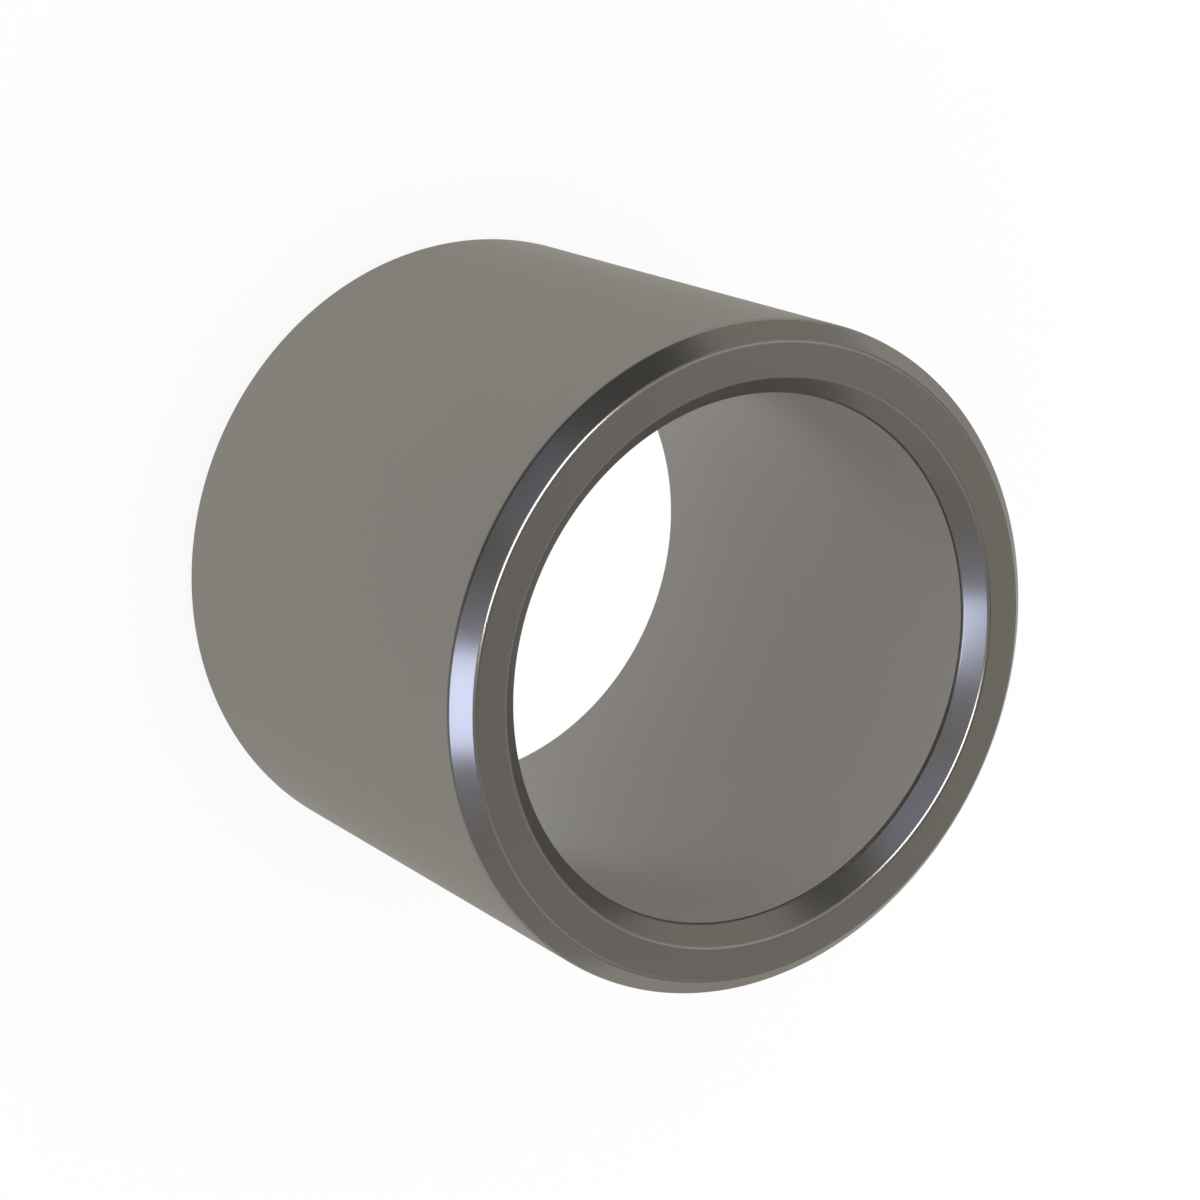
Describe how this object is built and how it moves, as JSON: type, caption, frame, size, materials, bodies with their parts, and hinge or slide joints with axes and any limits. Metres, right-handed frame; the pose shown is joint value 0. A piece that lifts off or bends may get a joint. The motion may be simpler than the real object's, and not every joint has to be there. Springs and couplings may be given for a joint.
{
  "type": "sleeve bushing",
  "caption": "Plain thick-walled steel sleeve bushing with a straight through bore and chamfered ends, pressed into a housing to carry a pin.",
  "frame": {"origin": "centre of the lower end face, on the axis of the bore", "axes": "+Z along the bore, from the end it stands on to the end that faces the viewer in the picture; X and Y are free, because the part is round"},
  "size_m": [0.07, 0.07, 0.059],
  "materials": {
    "ground_steel": "ground"
  },
  "bodies": {
    "root": {"bushing": "ground_steel"}
  },
  "joints": []
}
